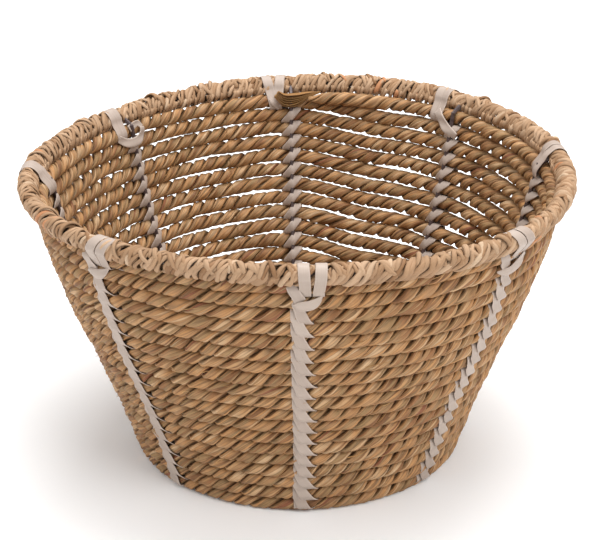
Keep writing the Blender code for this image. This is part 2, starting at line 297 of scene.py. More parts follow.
@dataclass(frozen=True)
class BasketShape:
    """The flared wall, the slightly uneven rim, and the line that the rope follows."""

    rim_radius: float = 0.1945
    rim_height: float = 0.2187
    base_radius: float = 0.1252
    wall_top_radius: float = 0.1935
    wall_belly: float = 0.0025
    wall_swell: float = 0.0025
    three_corners: float = 0.0051
    saddle: float = 0.0013
    twist: float = 0.0025
    lean: float = 0.0016
    centre_x: float = 0.0009
    centre_y: float = -0.0050
    front_rib: float = math.radians(-86.57)
    ribs: int = 8
    rib_degrees: tuple[float, ...] = (-88.3, -42.3, 3.4, 44.8, 91.5, 138.6, 182.3, 226.0, 271.7)
    rows: int = 19
    first_row_height: float = 0.0056
    last_row_height: float = 0.2063
    rope_inset: float = 0.00505
    base_pitch: float = 0.0104
    base_turns: float = 11.0
    start_offset: float = math.radians(16.875)
    climb_from: float = 0.888
    climb_to: float = 0.966
    base_step_from: float = 0.922
    rope_end: float = 0.941
    tuck_from: float = 0.882
    tuck_to: float = 0.922
    tuck_in: float = 0.0085
    tuck_up: float = 0.0035
    wire_offset: float = 0.00685
    wire_radius: float = 0.00175
    binding_least_radius: float = 0.0053
    binding_inside_gain: float = 0.0003
    binding_swell: float = 0.0041
    top_row_angle: float = math.radians(235)

    def real_azimuth(self, even_azimuth: Array) -> Array:
        """Moves azimuths of the evenly spaced basket to where they lie between its hand-spaced ribs."""
        steps = (np.asarray(even_azimuth, float) - self.front_rib) * self.ribs / FULL_TURN
        turns = np.floor(steps / self.ribs)
        degrees = np.interp(steps - turns * self.ribs, np.arange(self.ribs + 1), self.rib_degrees)
        return np.radians(degrees) + FULL_TURN * turns

    def rib_azimuth(self, rib: int) -> float:
        """Azimuth of a rib; rib 0 is the front one and they count anticlockwise."""
        return math.radians(self.rib_degrees[rib])

    def binding_radius(self, angle: Array) -> Array:
        """Radius of the bound rim at an angle round the hoop, where 0 is outwards and a quarter turn is up.

        It is least on the outside, gains by one less the cosine to the inside, and swells by a squared cosine
        towards the top row.
        """
        towards_row = np.clip(np.cos(angle - self.top_row_angle), 0.0, 1.0)
        uneven = self.binding_inside_gain * (1.0 - np.cos(angle))
        return self.binding_least_radius + uneven + self.binding_swell * towards_row**2

    def start_azimuth(self) -> float:
        """Where each row starts, a little past the back rib."""
        return self.front_rib + math.pi + self.start_offset

    def wall_radius(self, height: Array) -> Array:
        """Outer radius of the wall: a straight flare, plus a belly of half a wave, less a whole wave."""
        share = height / self.rim_height
        flare = self.base_radius + (self.wall_top_radius - self.base_radius) * share
        belly = self.wall_belly * np.sin(math.pi * share)
        return flare + belly - self.wall_swell * np.sin(FULL_TURN * share)

    def wall_inward(self, height: Array) -> tuple[Array, Array]:
        """Unit (radius, height) direction into the basket, square to the wall's slope."""
        step = 0.001
        run = self.wall_radius(height + step) - self.wall_radius(height - step)
        rise = 2 * step
        length = np.hypot(run, rise)
        return -rise / length, run / length

    def place(self, even_azimuth: Array, radius: Array, height: Array) -> Array:
        """A point of the basket from its azimuth on the evenly spaced one."""
        return self.put(self.real_azimuth(even_azimuth), radius, height)

    def put(self, azimuth: Array, radius: Array, height: Array) -> Array:
        """A point of the round basket, moved out of round in proportion to its height.

        The radius loses three corners times sin(3 azimuth). The height gains a saddle, a twist and a lean.

        Args:
            azimuth: Azimuths.
            radius: Radii on the round basket.
            height: Heights.

        Returns:
            Points, with a last axis of 3.
        """
        azimuth, radius, height = np.broadcast_arrays(azimuth, radius, height)
        share = height / self.rim_height
        real = radius - share * self.three_corners * np.sin(3 * azimuth)
        lift = self.saddle * np.cos(2 * azimuth) + self.twist * np.sin(2 * azimuth)
        lift = lift + self.lean * np.cos(azimuth)
        x = real * np.cos(azimuth) + self.centre_x
        y = real * np.sin(azimuth) + self.centre_y
        return np.stack([x, y, height + share * lift], axis=-1)

    def row_pitch(self) -> float:
        """Height from one row to the next."""
        return (self.last_row_height - self.first_row_height) / (self.rows - 1)

    def rope_section(self, turn: Array) -> tuple[Array, Array]:
        """Radius and height of the rope's centre after so many turns; turn 0 starts the lowest row.

        Rows are level rings. Each steps up one pitch near the back rib, a base ring steps out by one pitch,
        and the last row tucks inwards at its end.

        Args:
            turn: Turns of rope, negative on the base.

        Returns:
            The radii and the heights.
        """
        turn = np.asarray(turn, float)
        row = np.floor(turn)
        share = turn - row
        steps = -row - smooth_step(share, self.base_step_from, 1.0)
        foot = self.wall_radius(np.full_like(turn, self.first_row_height)) - self.rope_inset
        climb = row + smooth_step(share, self.climb_from, self.climb_to)
        height = self.first_row_height + self.row_pitch() * climb
        tuck = smooth_step(share, self.tuck_from, self.tuck_to)
        last = row >= self.rows - 1
        height = np.where(last, self.last_row_height, height)
        radius = self.wall_radius(height) - self.rope_inset
        radius = np.where(last, radius - self.tuck_in * tuck, radius)
        height = np.where(last, height + self.tuck_up * tuck, height)
        on_base = row < 0
        radius = np.where(on_base, foot - self.base_pitch * steps, radius)
        height = np.where(on_base, self.first_row_height, height)
        return radius, height

    def rope_point(self, turn: Array) -> Array:
        """The rope's centre after so many turns."""
        radius, height = self.rope_section(turn)
        return self.place(self.start_azimuth() + FULL_TURN * np.asarray(turn, float), radius, height)


# ---------------------------------------------------------------------------
# Finishes
# ---------------------------------------------------------------------------


class NodeBench:
    """A material's node tree, with short calls for the nodes that the finishes use."""

    def __init__(self, name: str) -> None:
        """Starts a material that holds only a shader and its output.

        Args:
            name: The material's name.
        """
        self.material = bpy.data.materials.new(name)
        self.material.use_nodes = True
        self.tree = self.material.node_tree
        self.tree.nodes.clear()
        self.shader = self.add("ShaderNodeBsdfPrincipled")
        output = self.add("ShaderNodeOutputMaterial")
        self.tree.links.new(self.shader.outputs["BSDF"], output.inputs["Surface"])

    def add(self, kind: str, **settings: object) -> bpy.types.Node:
        """A new node with the given properties."""
        node = self.tree.nodes.new(kind)
        for key, value in settings.items():
            setattr(node, key, value)
        return node

    def feed(self, socket: Socket, value: object) -> None:
        """Links a socket to an output, or sets it to a plain value."""
        if isinstance(value, Socket):
            self.tree.links.new(value, socket)
        else:
            socket.default_value = value

    def maths(self, operation: str, first: object, second: object) -> Socket:
        """One arithmetic step on numbers."""
        node = self.add("ShaderNodeMath", operation=operation)
        self.feed(node.inputs[0], first)
        self.feed(node.inputs[1], second)
        return node.outputs[0]

    def spread(
        self, value: object, low: float, high: float, new_low: float = 0.0, new_high: float = 1.0
    ) -> Socket:
        """Maps a number smoothly from one range to another, held at the ends."""
        node = self.add("ShaderNodeMapRange", interpolation_type="SMOOTHSTEP")
        for socket, number in zip(node.inputs, (value, low, high, new_low, new_high)):
            self.feed(socket, number)
        return node.outputs["Result"]

    def surface_place(self) -> tuple[Socket, Socket]:
        """Distance along and around the piece, from its UV map."""
        split = self.add("ShaderNodeSeparateXYZ")
        self.feed(split.inputs[0], self.add("ShaderNodeUVMap", uv_map="UVMap").outputs["UV"])
        return split.outputs["X"], split.outputs["Y"]

    def mark(self, name: str) -> Socket:
        """A number that the piece carries on its vertices."""
        return self.add("ShaderNodeAttribute", attribute_name=name).outputs["Fac"]

    def stretched(
        self, along: object, around: object, length: float, width: float, shift: object = 0.0
    ) -> Socket:
        """Coordinates in which a patch of the given length and width measures one unit."""
        node = self.add("ShaderNodeCombineXYZ")
        self.feed(node.inputs["X"], self.maths("DIVIDE", along, length))
        self.feed(node.inputs["Y"], self.maths("DIVIDE", around, width))
        self.feed(node.inputs["Z"], shift)
        return node.outputs[0]

    def noise(
        self, vector: object, scale: float = 1.0, detail: float = 2.0, roughness: float = 0.5
    ) -> Socket:
        """Soft noise from 0 to 1."""
        node = self.add("ShaderNodeTexNoise")
        self.feed(node.inputs["Vector"], vector)
        node.inputs["Scale"].default_value = scale
        node.inputs["Detail"].default_value = detail
        node.inputs["Roughness"].default_value = roughness
        return node.outputs["Fac"]

    def cells(self, vector: object, feature: str = "F1") -> bpy.types.Node:
        """Random cells, one unit across."""
        node = self.add("ShaderNodeTexVoronoi", feature=feature)
        self.feed(node.inputs["Vector"], vector)
        node.inputs["Scale"].default_value = 1.0
        return node

    def ramp(self, value: object, stops: list[tuple[float, Colour]]) -> Socket:
        """A colour ramp through the given stops."""
        node = self.add("ShaderNodeValToRGB")
        self.feed(node.inputs[0], value)
        elements = node.color_ramp.elements
        while len(elements) < len(stops):
            elements.new(0.5)
        for element, (position, colour) in zip(elements, stops):
            element.position = position
            element.color = colour
        return node.outputs["Color"]

    def mix(self, share: object, first: object, second: object) -> Socket:
        """A mix of two colours."""
        node = self.add("ShaderNodeMix", data_type="RGBA")
        self.feed(node.inputs[0], share)
        self.feed(node.inputs[6], first)
        self.feed(node.inputs[7], second)
        return node.outputs[2]

    def shade(self, colour: object, amount: object) -> Socket:
        """A colour times a number."""
        node = self.add("ShaderNodeVectorMath", operation="SCALE")
        self.feed(node.inputs[0], colour)
        self.feed(node.inputs["Scale"], amount)
        return node.outputs[0]

    def bump(self, height: object, distance: float, strength: float, under: object = None) -> Socket:
        """A bumped normal, on top of another where one is given."""
        node = self.add("ShaderNodeBump")
        node.inputs["Strength"].default_value = strength
        node.inputs["Distance"].default_value = distance
        self.feed(node.inputs["Height"], height)
        if under is not None:
            self.feed(node.inputs["Normal"], under)
        return node.outputs["Normal"]

    def object_place(self) -> Socket:
        """Object coordinates."""
        return self.add("ShaderNodeTexCoord").outputs["Object"]

    def finish(self, colour: Socket, specular: float, roughness: object, normal: object = None) -> Material:
        """Feeds the shader and hands over the material.

        Args:
            colour: The base colour.
            specular: How strongly it reflects straight on, the same all over.
            roughness: A number, or an output where it varies.
            normal: The bumped normal, where there is one.

        Returns:
            The material.
        """
        inputs = self.shader.inputs
        self.feed(inputs["Base Color"], colour)
        inputs["Specular IOR Level"].default_value = specular
        self.feed(inputs["Roughness"], roughness)
        if normal is not None:
            self.feed(inputs["Normal"], normal)
        return self.material


def paint(red: int, green: int, blue: int) -> Colour:
    """A linear colour from display values of 0 to 255."""
    values = np.array([red, green, blue]) / 255.0
    linear = np.where(values <= 0.04045, values / 12.92, ((values + 0.055) / 1.055) ** 2.4)
    return (float(linear[0]), float(linear[1]), float(linear[2]), 1.0)


@dataclass(frozen=True)
class RopeFinish:
    """Twisted dried leaf: long bands of different browns, fine fibres, painted shade in the creases."""

    band_length: float = 0.052
    band_width: float = 0.0023
    fibre_length: float = 0.020
    fibre_width: float = 0.00028
    patch_size: float = 0.05
    lens_length: float = 0.0135
    roughness: float = 0.62

    def material(self) -> Material:
        """Builds the material.

        Leaf bands are random cells stretched along the strand. Each picks its brown from a ramp, and a rare
        one is reddish. Thin dark lines part the bands, fine noise makes the fibres, and painted shade darkens
        the inner side of each strand, where it meets the other.

        Returns:
            The material.
        """
        bench = NodeBench("rope_leaf")
        along, around = bench.surface_place()
        strand = bench.mark("strand")
        sway = bench.noise(bench.stretched(along, around, 0.03, 0.006, strand), detail=1.0)
        swing = bench.maths("MULTIPLY", bench.maths("SUBTRACT", sway, 0.5), 0.0016)
        swayed = bench.maths("ADD", around, swing)
        bands = bench.stretched(along, swayed, self.band_length, self.band_width, strand)
        cell = bench.cells(bands)
        split = bench.add("ShaderNodeSeparateColor")
        bench.feed(split.inputs[0], cell.outputs["Color"])
        gap = bench.cells(bands, "DISTANCE_TO_EDGE").outputs["Distance"]
        patch = bench.noise(bench.object_place(), scale=1.0 / self.patch_size, detail=1.0)
        lens = bench.noise(bench.stretched(along, 0.0, self.lens_length, 1.0, strand), detail=0.0)
        mood = bench.maths("ADD", bench.maths("MULTIPLY", patch, 0.45), bench.maths("MULTIPLY", lens, 0.75))
        own = bench.maths("MULTIPLY", split.outputs["Red"], 0.85)
        choice = bench.maths("SUBTRACT", bench.maths("ADD", own, mood), 0.52)
        browns = [
            (0.00, paint(122, 82, 48)),
            (0.14, paint(146, 102, 64)),
            (0.32, paint(150, 119, 80)),
            (0.50, paint(166, 124, 84)),
            (0.66, paint(178, 130, 82)),
            (0.82, paint(182, 142, 100)),
            (1.00, paint(194, 160, 122)),
        ]
        colour = bench.ramp(choice, browns)
        rare = bench.spread(split.outputs["Blue"], 0.985, 0.992)
        colour = bench.mix(rare, colour, paint(134, 82, 54))
        threads = bench.stretched(along, around, self.fibre_length, self.fibre_width, strand)
        fibre = bench.noise(threads, detail=3.0, roughness=0.6)
        colour = bench.shade(colour, bench.spread(fibre, 0.25, 0.75, 0.77, 1.15))
        lines = bench.spread(gap, 0.0, 0.13, 0.64, 1.0)
        colour = bench.shade(colour, lines)
        # Painted shade: darker towards each strand's inner side, where it meets the other, for the crevice's
        # shadow
        crease_shade = bench.mark("crease_shade")
        colour = bench.shade(colour, bench.spread(crease_shade, 0.56, 0.78, 1.0, 0.46))
        rough = bench.spread(fibre, 0.2, 0.8, self.roughness - 0.1, self.roughness + 0.12)
        ridges = bench.bump(bench.spread(gap, 0.0, 0.45), 0.00035, 0.5)
        return bench.finish(colour, 0.35, rough, bench.bump(fibre, 0.00020, 0.45, ridges))


@dataclass(frozen=True)
class BindingFinish:
    """Split leaf, as bound round the rim. Each tone is a display colour, from the darkest to the palest."""

    name: str = "rim_leaf"
    tones: tuple[tuple[int, int, int], ...] = (
        (134, 98, 66),
        (154, 119, 87),
        (168, 135, 104),
        (181, 149, 119),
        (194, 167, 138),
    )
    streak_length: float = 0.016
    streak_width: float = 0.0007
    roughness: float = 0.66

    def material(self) -> Material:
        """Builds the material: a leaf colour for each strand, streaked lengthwise, with painted shade at its
        edges.
        """
        bench = NodeBench(self.name)
        along, around = bench.surface_place()
        tone = bench.mark("tone")
        edge = bench.mark("edge")
        streaks = bench.stretched(along, around, self.streak_length, self.streak_width)
        streak = bench.noise(streaks, detail=3.0, roughness=0.62)
        pick = bench.maths("ADD", tone, bench.maths("MULTIPLY", bench.maths("SUBTRACT", streak, 0.5), 0.55))
        stops = [(position, paint(*leaf)) for position, leaf in zip((0.0, 0.2, 0.5, 0.8, 1.0), self.tones)]
        colour = bench.mix(bench.spread(tone, 0.985, 0.995), bench.ramp(pick, stops), paint(186, 130, 90))
        # Painted shade: each strand darker towards its edges, for the shadow in the grooves between strands
        colour = bench.shade(colour, bench.spread(edge, 0.60, 1.0, 1.0, 0.55))
        blotch = bench.noise(bench.object_place(), scale=90.0, detail=2.0)
        colour = bench.shade(colour, bench.spread(blotch, 0.25, 0.75, 0.86, 1.06))
        rough = bench.spread(streak, 0.2, 0.8, self.roughness - 0.1, self.roughness + 0.1)
        return bench.finish(colour, 0.3, rough, bench.bump(streak, 0.00035, 0.7))


@dataclass(frozen=True)
class StripFinish:
    """Satin flat strip with faint lines along it."""

    line_width: float = 0.00035
    roughness: float = 0.47

    def material(self) -> Material:
        """Builds the material: greyish beige, paler at the edges as a painted highlight, with faint lines
        along and bars across.
        """
        bench = NodeBench("satin_strip")
        along, around = bench.surface_place()
        edge = bench.mark("edge")
        lines = bench.noise(bench.stretched(along, around, 0.05, self.line_width), detail=2.0)
        bars = bench.noise(bench.stretched(along, around, 0.0022, 0.02), detail=1.0)
        tone = bench.mark("tone")
        colour = bench.mix(tone, paint(163, 146, 134), paint(174, 158, 146))
        colour = bench.shade(colour, bench.spread(lines, 0.3, 0.7, 0.95, 1.03))
        # Painted highlight: paler towards the edges, as the raised edges catch the light
        colour = bench.mix(bench.spread(edge, 0.72, 0.95, 0.0, 0.55), colour, paint(190, 173, 160))
        rough = bench.spread(bars, 0.2, 0.8, self.roughness - 0.05, self.roughness + 0.08)
        ribbed = bench.bump(bars, 0.00018, 0.35)
        return bench.finish(colour, 0.45, rough, bench.bump(lines, 0.00006, 0.5, ribbed))


@dataclass(frozen=True)
class WireFinish:
    """Dark brown coated wire, a little uneven."""

    roughness: float = 0.42

    def material(self) -> Material:
        """Builds the material: dark brown with faint mottling, small lumps in the coat and uneven gloss."""
        bench = NodeBench("coated_wire")
        place = bench.object_place()
        mottle = bench.noise(place, scale=260.0, detail=3.0)
        lump = bench.noise(place, scale=900.0, detail=2.0)
        shades = [(0.25, paint(52, 40, 40)), (0.55, paint(72, 57, 56)), (0.85, paint(98, 80, 76))]
        rough = bench.spread(mottle, 0.3, 0.7, self.roughness - 0.08, self.roughness + 0.12)
        return bench.finish(bench.ramp(mottle, shades), 0.5, rough, bench.bump(lump, 0.00025, 0.35))


@dataclass(frozen=True)
class FloorFinish:
    """A pale matt floor."""

    def material(self) -> Material:
        """Builds the material: near white, with the faintest mottling."""
        bench = NodeBench("pale_floor")
        mottle = bench.noise(bench.object_place(), scale=3.0, detail=2.0)
        whites = [(0.3, (0.93, 0.93, 0.93, 1.0)), (0.7, (0.95, 0.95, 0.95, 1.0))]
        return bench.finish(bench.ramp(mottle, whites), 0.1, 0.9)


# ---------------------------------------------------------------------------
# Rope
# ---------------------------------------------------------------------------


@dataclass
class RopeWork:
    """One long two-strand rope: a flat coil for the base, then the rows of the wall."""

    shape: BasketShape
    wall_strand: float = 0.00545
    base_strand: float = 0.0050
    lay_length: float = 0.0262
    middle_share: float = 0.455
    reach_share: float = 0.535
    flat_share: float = 0.01
    flank_share: float = 0.89
    sides: int = 18
    wall_step: float = 0.0018
    base_step: float = 0.0021
    fibre_drift: float = 0.50
    least_height: float = 0.0002
    end_taper: float = 0.62
    taper_turns: float = 0.014
    girth_radius: float = 0.0039
    seed: int = 11

    def __post_init__(self) -> None:
        """Tabulates the rope's length against its turns."""
        self.turns = np.linspace(-self.shape.base_turns, self.shape.rows - 1 + self.shape.rope_end, 120001)
        gaps = np.linalg.norm(np.diff(self.shape.rope_point(self.turns), axis=0), axis=1)
        self.lengths = np.concatenate([[0.0], np.cumsum(gaps)])

    def length_at(self, turn: float) -> float:
        """Length of rope up to a turn."""
        return float(np.interp(turn, self.turns, self.lengths))

    def turn_at(self, length: Array) -> Array:
        """Turn at a length of rope."""
        return np.interp(length, self.lengths, self.turns)

    def frame_at(self, length: Array) -> tuple[Array, Array, Array]:
        """The rope's centre, its outward direction and its sideways direction.

        Outward is the wall's outward normal, and straight down under the base; it is made square to the rope.
        Sideways is outward x forward. The centre wanders by a few tenths of a millimetre, as hand work does.

        Args:
            length: Lengths of rope.

        Returns:
            Centres, outward directions, sideways directions and the turns.
        """
        turn = self.turn_at(length)
        step = 0.0004
        forward = unit(self.shape.rope_point(turn + step) - self.shape.rope_point(turn - step))
        azimuth = self.shape.real_azimuth(self.shape.start_azimuth() + FULL_TURN * turn)
        radial = np.stack([np.cos(azimuth), np.sin(azimuth), np.zeros_like(azimuth)], axis=-1)
        up = np.array([0.0, 0.0, 1.0])
        inward_radius, inward_height = self.shape.wall_inward(self.shape.rope_section(turn)[1])
        outward = -radial * inward_radius[:, None] - up * inward_height[:, None]
        on_wall = smooth_step(turn, -0.12, 0.02)[:, None]
        outward = outward * on_wall - up * (1.0 - on_wall)
        outward = unit(outward - forward * np.sum(outward * forward, axis=-1, keepdims=True))
        sideways = np.cross(outward, forward)
        dice = np.random.default_rng(self.seed)
        calm = smooth_step(turn, 0.0, 2.0)
        rise = waves(length, (0.151, 0.089, 0.062, 0.041), (0.34e-3, 0.28e-3, 0.22e-3, 0.14e-3), dice) * calm
        swell = waves(length, (0.127, 0.073, 0.047), (0.22e-3, 0.16e-3, 0.12e-3), dice) * calm
        centre = self.shape.rope_point(turn) + sideways * rise[:, None] + outward * swell[:, None]
        return centre, outward, sideways, turn

    def strands(self, start: float, end: float, step: float) -> Tubes:
        """The two strands of a stretch of rope.

        A strand's middle turns round the rope once in each lay length, half a turn from the other's. Its
        section is almost an ellipse, whose far tip reaches the rope's radius and whose near side just passes
        the centre: u = radius (middle + reach cos a + flat cos 2a), v = flank radius sin a, with low folds
        along the leaf. The rope thins at its very end. What would reach below the surface that the basket
        stands on is pressed flat.

        Args:
            start: First length of rope.
            end: Last length of rope.
            step: Distance between sections.

        Returns:
            The strands, with along and around distances, a strand mark and a painted-shade mark.
        """
        sections = max(8, int(round((end - start) / step)) + 1)
        length = np.linspace(start, end, sections)
        centre, outward, sideways, turn = self.frame_at(length)
        dice = np.random.default_rng(self.seed + 1)
        lay = FULL_TURN * length / self.lay_length
        lay = lay + waves(length, (0.41, 0.23, 0.131), (1.5, 0.75, 0.4), dice)
        size = self.base_strand + (self.wall_strand - self.base_strand) * smooth_step(turn, -0.1, 1.2)
        size = size * (1.0 + waves(length, (0.19, 0.083), (0.02, 0.02), dice))
        last = self.turns[-1]
        size = size * (1.0 - self.end_taper * smooth_step(turn, last - self.taper_turns, last))
        even = np.linspace(-math.pi, math.pi, self.sides + 1)
        angle = even - 0.35 * np.sin(even)
        rings, around, strand_mark, crease_shade = [], [], [], []
        for strand in range(2):
            radius = size * (1.0 + waves(length, (0.061, 0.037, 0.0233), (0.03, 0.025, 0.02), dice))
            turned = lay + strand * math.pi + waves(length, (0.071, 0.043), (0.10, 0.07), dice)
            out_way = outward * np.cos(turned)[:, None] + sideways * np.sin(turned)[:, None]
            side_way = sideways * np.cos(turned)[:, None] - outward * np.sin(turned)[:, None]
            girth = self.girth_radius * (angle[None, :] + self.fibre_drift * lay[:, None])
            drift = waves(length, (0.11, 0.053), (1.2, 0.9), dice)[:, None]
            wide_folds = 0.040 * np.sin(FULL_TURN * girth / 0.0068 + drift)
            narrow_folds = 0.018 * np.sin(FULL_TURN * girth / 0.0041 - 1.7 * drift)
            outer_side = smooth_step(math.pi - np.abs(angle), 0.3, 1.4)[None, :]
            folds = 1.0 + (wide_folds + narrow_folds) * outer_side
            reach = self.middle_share + self.reach_share * np.cos(angle) + self.flat_share * np.cos(2 * angle)
            u = radius[:, None] * (self.middle_share + (reach - self.middle_share) * folds)
            v = radius[:, None] * self.flank_share * np.sin(angle) * folds
            points = centre[:, None] + out_way[:, None] * u[..., None] + side_way[:, None] * v[..., None]
            points[..., 2] = np.maximum(points[..., 2], self.least_height)
            rings.append(points[:, :-1])
            around.append(girth)
            strand_mark.append(np.full((sections, self.sides), 3.3 + 5.7 * strand))
            # How far round to the inner side, which the finish darkens as painted shade
            crease_shade.append(np.broadcast_to((np.abs(angle[:-1]) / math.pi)[None, :], (sections, self.sides)))
        marks = {"strand": np.stack(strand_mark), "crease_shade": np.stack(crease_shade)}
        return Tubes(np.stack(rings), np.stack([length, length]), np.stack(around), marks)

    def build(self, material: Material) -> None:
        """Makes the base coil and one piece for each row.

        Args:
            material: The rope's finish.
        """
        coil = self.strands(0.0, self.length_at(0.0), self.base_step)
        make_piece("rope_base_coil", [coil], material, ["base_coil"])
        for row in range(1, self.shape.rows + 1):
            end = min(float(row), float(self.turns[-1]))
            stretch = self.strands(self.length_at(row - 1.0), self.length_at(end), self.wall_step)
            make_piece(f"rope_row_{row:02d}", [stretch], material, [f"wall_row_{row:02d}"])


# ---------------------------------------------------------------------------
# Rim binding
# ---------------------------------------------------------------------------


@dataclass
class RimBinding:
    """Split leaf wound round the rim hoop in a long helix, over an under layer, with crossing strands."""

    shape: BasketShape
    loops: int = 305
    under_loops: int = 250
    crossings: int = 265
    strand_width: float = 0.0041
    strand_thickness: float = 0.0011
    columns: int = 5
    crown: float = 0.0010
    lap: float = 0.0007
    sink: float = 0.0009
    strap_offset: float = 0.004
    squeeze_share: float = 0.16
    squeeze_reach: float = math.radians(3.0)
    wind_from: float = math.radians(-175)
    wind_through: float = math.radians(385)
    seed: int = 23

    def squeeze(self, azimuth: Array) -> Array:
        """How far the rib straps pull the binding in: 1, and less within about a centimetre of a rib."""
        ribs = np.radians(self.shape.rib_degrees) + self.strap_offset / self.shape.rim_radius
        away = np.abs((azimuth[..., None] - ribs + math.pi) % FULL_TURN - math.pi).min(axis=-1)
        return 1.0 - self.squeeze_share * np.exp(-((away / self.squeeze_reach) ** 4))

    def bands(
        self, azimuth: Array, angle: Array, lift: Array, width: Array, slope: Array, tone: Array
    ) -> Tubes:
        """Crowned strands laid along paths round the hoop.

        A path's points lie at the bound rim's radius plus its lift. A strand's width runs square to its path,
        its middle stands up in a crown, and one edge is a little higher so that strands lap.

        Args:
            azimuth: Path azimuths of shape (strands, sections).
            angle: Path angles round the hoop, of the same shape.
            lift: Heights above the bound radius, of the same shape.
            width: Widths, of the same shape.
            slope: Distance gone along the rim for each distance round the hoop, of the same shape.
            tone: One random number for each strand.

        Returns:
            The strands.
        """
        across = np.linspace(-0.5, 0.5, self.columns)
        lean = np.arctan(slope)[..., None]
        spread = width[..., None] * across
        azimuths = azimuth[..., None] + spread * np.cos(lean) / self.shape.rim_radius
        angles = angle[..., None] - spread * np.sin(lean) / self.shape.binding_radius(angle)[..., None]
        crown = self.crown * (1.0 - (2 * across) ** 2)
        lap = self.lap * across
        radii = self.shape.binding_radius(angles) - self.sink + lift[..., None] + crown + lap
        radii = radii * self.squeeze(azimuths)
        rim_radius = self.shape.rim_radius + radii * np.cos(angles)
        surface = self.shape.put(azimuths, rim_radius, self.shape.rim_height + radii * np.sin(angles))
        share = np.linspace(0.06, math.pi - 0.06, azimuth.shape[1])
        thickness = np.full(azimuth.shape, self.strand_thickness) * (0.35 + 0.65 * np.sin(share) ** 0.3)
        return sheet_tubes(surface, thickness, tone)

    def wind(self, count: int, sections: int, depth: float, reach: Lengths, dice: Dice) -> Tubes:
        """A helical layer: each strand goes a little over once round the hoop, always forward, in a slight S.

        Args:
            count: How many strands.
            sections: Sections of each.
            depth: How far the layer lies below the surface, which also darkens its leaves as painted shade.
            reach: The least and the most that a strand goes forward.
            dice: The seeded source of small differences.

        Returns:
            The strands.
        """
        spacing = FULL_TURN / count
        start = (np.arange(count) + dice.normal(0.0, 0.34, count)) * spacing
        share = np.linspace(0.0, 1.0, sections)[None, :]
        angle = np.broadcast_to(self.wind_from + self.wind_through * share, (count, sections))
        swing = dice.uniform(0.0004, 0.0017, count)[:, None]
        phase = dice.uniform(0.0, FULL_TURN, count)[:, None]
        forward = dice.uniform(*reach, count)[:, None] * (share - 0.5) + swing * np.sin(2 * angle + phase)
        azimuth = start[:, None] + forward / self.shape.rim_radius
        slope = np.gradient(forward, axis=1) / (np.gradient(angle, axis=1) * self.shape.binding_radius(angle))
        lift = dice.uniform(-0.0006, 0.0006, count)[:, None] - depth
        lift = lift + 0.0004 * np.sin(2 * angle + dice.uniform(0.0, FULL_TURN, count)[:, None])
        swell = 1.0 + 0.15 * np.sin(2 * angle + dice.uniform(0.0, FULL_TURN, count)[:, None])
        width = self.strand_width * dice.uniform(0.62, 1.18, count)[:, None] * swell
        # Painted shade: the deeper the layer, the darker its leaves are picked, as if shaded by the loops
        # over it
        tone = np.clip(dice.normal(0.5 - 180.0 * depth, 0.22, count), 0.0, 1.0)
        return self.bands(azimuth, angle, lift, width, slope, tone)

    def cross(self, dice: Dice) -> Tubes:
        """Narrower strands that run over the top, mostly against the helix, a few in a loose loop.

        Args:
            dice: The seeded source of small differences.

        Returns:
            The strands.
        """
        count, sections = self.crossings, 16
        start = np.sort(dice.uniform(0.0, FULL_TURN, count))
        share = np.linspace(0.0, 1.0, sections)[None, :]
        low = dice.uniform(-50, 35, count)[:, None]
        high = dice.uniform(100, 200, count)[:, None]
        angle = np.radians(low + (high - low) * share)
        way = np.where(dice.random(count) < 0.68, -1.0, 1.0)[:, None]
        reach = dice.uniform(0.005, 0.012, count)[:, None]
        bow = dice.normal(0.0, 0.0016, count)[:, None]
        forward = way * reach * (share - 0.5) + bow * np.sin(math.pi * share)
        azimuth = start[:, None] + forward / self.shape.rim_radius
        slope = np.gradient(forward, axis=1) / (np.gradient(angle, axis=1) * self.shape.binding_radius(angle))
        loose = np.where(dice.random(count) < 0.10, dice.uniform(0.0010, 0.0022, count), 0.0)[:, None]
        rise = np.sin(math.pi * share) ** 0.6
        lift = -0.0010 + (0.0016 + dice.uniform(0.0, 0.0007, count)[:, None] + loose) * rise
        width = dice.uniform(0.0024, 0.0042, count)[:, None] * (0.55 + 0.45 * np.sin(math.pi * share) ** 0.5)
        tone = np.clip(dice.normal(0.5, 0.26, count), 0.0, 1.0)
        return self.bands(azimuth, angle, lift, width, slope, tone)

    def build(self, material: Material) -> None:
        """Makes the under layer, the loops and the crossing strands.

        Args:
            material: The leaf's finish.
        """
        dice = np.random.default_rng(self.seed)
        under = self.wind(self.under_loops, 14, 0.0013, (0.008, 0.013), dice)
        make_piece("rim_leaf_under", [under], material, ["rim_wrap"])
        loops = self.wind(self.loops, 22, 0.0, (0.018, 0.025), dice)
        make_piece("rim_leaf_loops", [loops], material, [])
        make_piece("rim_leaf_crossings", [self.cross(dice)], material, [])


# ---------------------------------------------------------------------------
# Rib lashings
# ---------------------------------------------------------------------------


@dataclass(frozen=True)
class TieStrap:
    """A strip that goes over the rim beside a rib. Offsets are along the rim, anticlockwise positive."""

    outer: float
    top: float
    inner: float


@dataclass(frozen=True)
class Laid:
    """A strip laid on one side of the wall below the rim.

    Each row of the path is an offset along the rim, a rise above the gap below the top row, a lift off the
    rope and a width.
    """

    face: Face
    path: tuple[tuple[float, float, float, float], ...]


@dataclass(frozen=True)
class RibTie:
    """What ties one rib to the rim, and how far its column of stitches stands beside the wire."""

    straps: tuple[TieStrap, ...]
    laid: tuple[Laid, ...] = ()
    top_shift: float = 0.0
    foot_shift: float = 0.0


